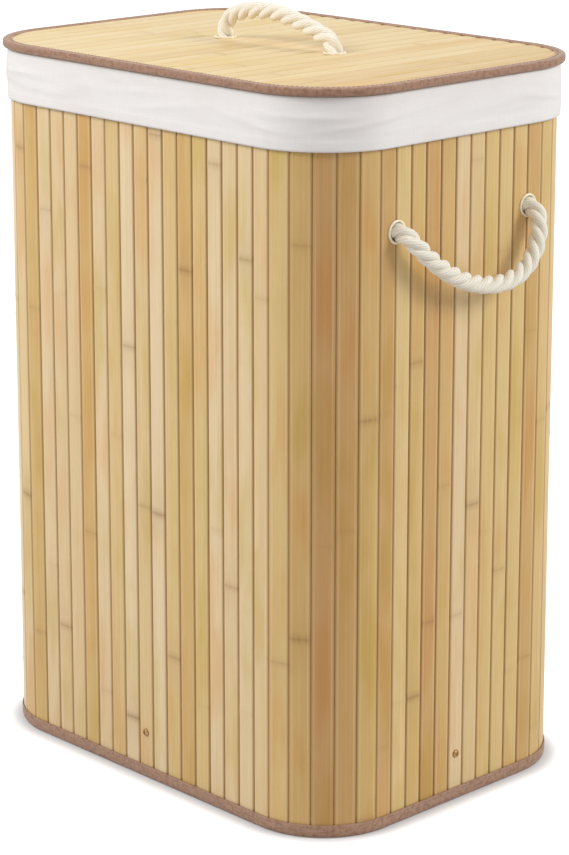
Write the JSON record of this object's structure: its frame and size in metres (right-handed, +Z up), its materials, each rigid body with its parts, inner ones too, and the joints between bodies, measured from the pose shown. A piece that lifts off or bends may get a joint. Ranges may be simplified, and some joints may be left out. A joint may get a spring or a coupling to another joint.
{
  "type": "laundry hamper",
  "caption": "Tall rectangular laundry hamper of upright bamboo slats with rounded corners, a cotton liner turned over the rim, a flat lift-off lid and twisted rope handles.",
  "frame": {"origin": "on the floor under the middle of the basket", "axes": "+Z up, +X to the right along the wide side, the wide front faces -Y"},
  "size_m": [0.4708, 0.317, 0.6326],
  "materials": {
    "bamboo": "satin varnished bamboo slats",
    "lid_bamboo": "satin varnished bamboo slats, close laid",
    "backing_cloth": "plain woven cloth",
    "edging_tape": "twill tape",
    "base_board": "sanded fibreboard",
    "screw_steel": "plated steel",
    "eyelet_enamel": "white enamel",
    "rope": "twisted cotton",
    "liner_cotton": "plain woven cotton"
  },
  "bodies": {
    "basket": {"front_slats": "bamboo", "back_slats": "bamboo", "left_slats": "bamboo", "right_slats": "bamboo", "back_right_corner_slats": "bamboo", "back_left_corner_slats": "bamboo", "front_left_corner_slats": "bamboo", "front_right_corner_slats": "bamboo", "wall_backing": "backing_cloth", "top_edging": "edging_tape", "bottom_edging": "edging_tape", "base_board": "base_board", "base_screws": "screw_steel", "left_eyelets": "eyelet_enamel", "right_eyelets": "eyelet_enamel", "left_eyelet_washers": "eyelet_enamel", "right_eyelet_washers": "eyelet_enamel", "left_rope_knots": "rope", "right_rope_knots": "rope"},
    "liner": {"liner_bag": "liner_cotton", "liner_cuff": "liner_cotton", "liner_floor": "liner_cotton", "liner_hem": "liner_cotton"},
    "lid": {"lid_slats": "lid_bamboo", "lid_board": "base_board", "lid_lining": "backing_cloth", "lid_edging": "edging_tape", "lid_eyelets": "eyelet_enamel", "lid_eyelet_washers": "eyelet_enamel", "lid_rope_knots": "rope"},
    "left_handle": {"left_rope": "rope"},
    "right_handle": {"right_rope": "rope"},
    "lid_handle": {"lid_rope": "rope"}
  },
  "joints": [
    {"name": "liner_lift", "type": "slide", "parent": "basket", "child": "liner", "axis": [0, 0, 1], "range_m": [0, 0.56]},
    {"name": "lid_lift", "type": "slide", "parent": "liner", "child": "lid", "axis": [0, 0, 1], "range_m": [0, 0.25]},
    {"name": "right_handle_swing", "type": "hinge", "parent": "basket", "child": "right_handle", "pos_m": [0.21715, 0, 0.485], "axis": [0, -1, 0], "range_deg": [0, 130]},
    {"name": "left_handle_swing", "type": "hinge", "parent": "basket", "child": "left_handle", "pos_m": [-0.21715, 0, 0.485], "axis": [0, 1, 0], "range_deg": [0, 130]},
    {"name": "lid_handle_tilt", "type": "hinge", "parent": "lid", "child": "lid_handle", "pos_m": [0, 0, 0.60825], "axis": [1, 0, 0], "range_deg": [-80, 80], "stiffness_Nm_per_rad": 0.02}
  ]
}
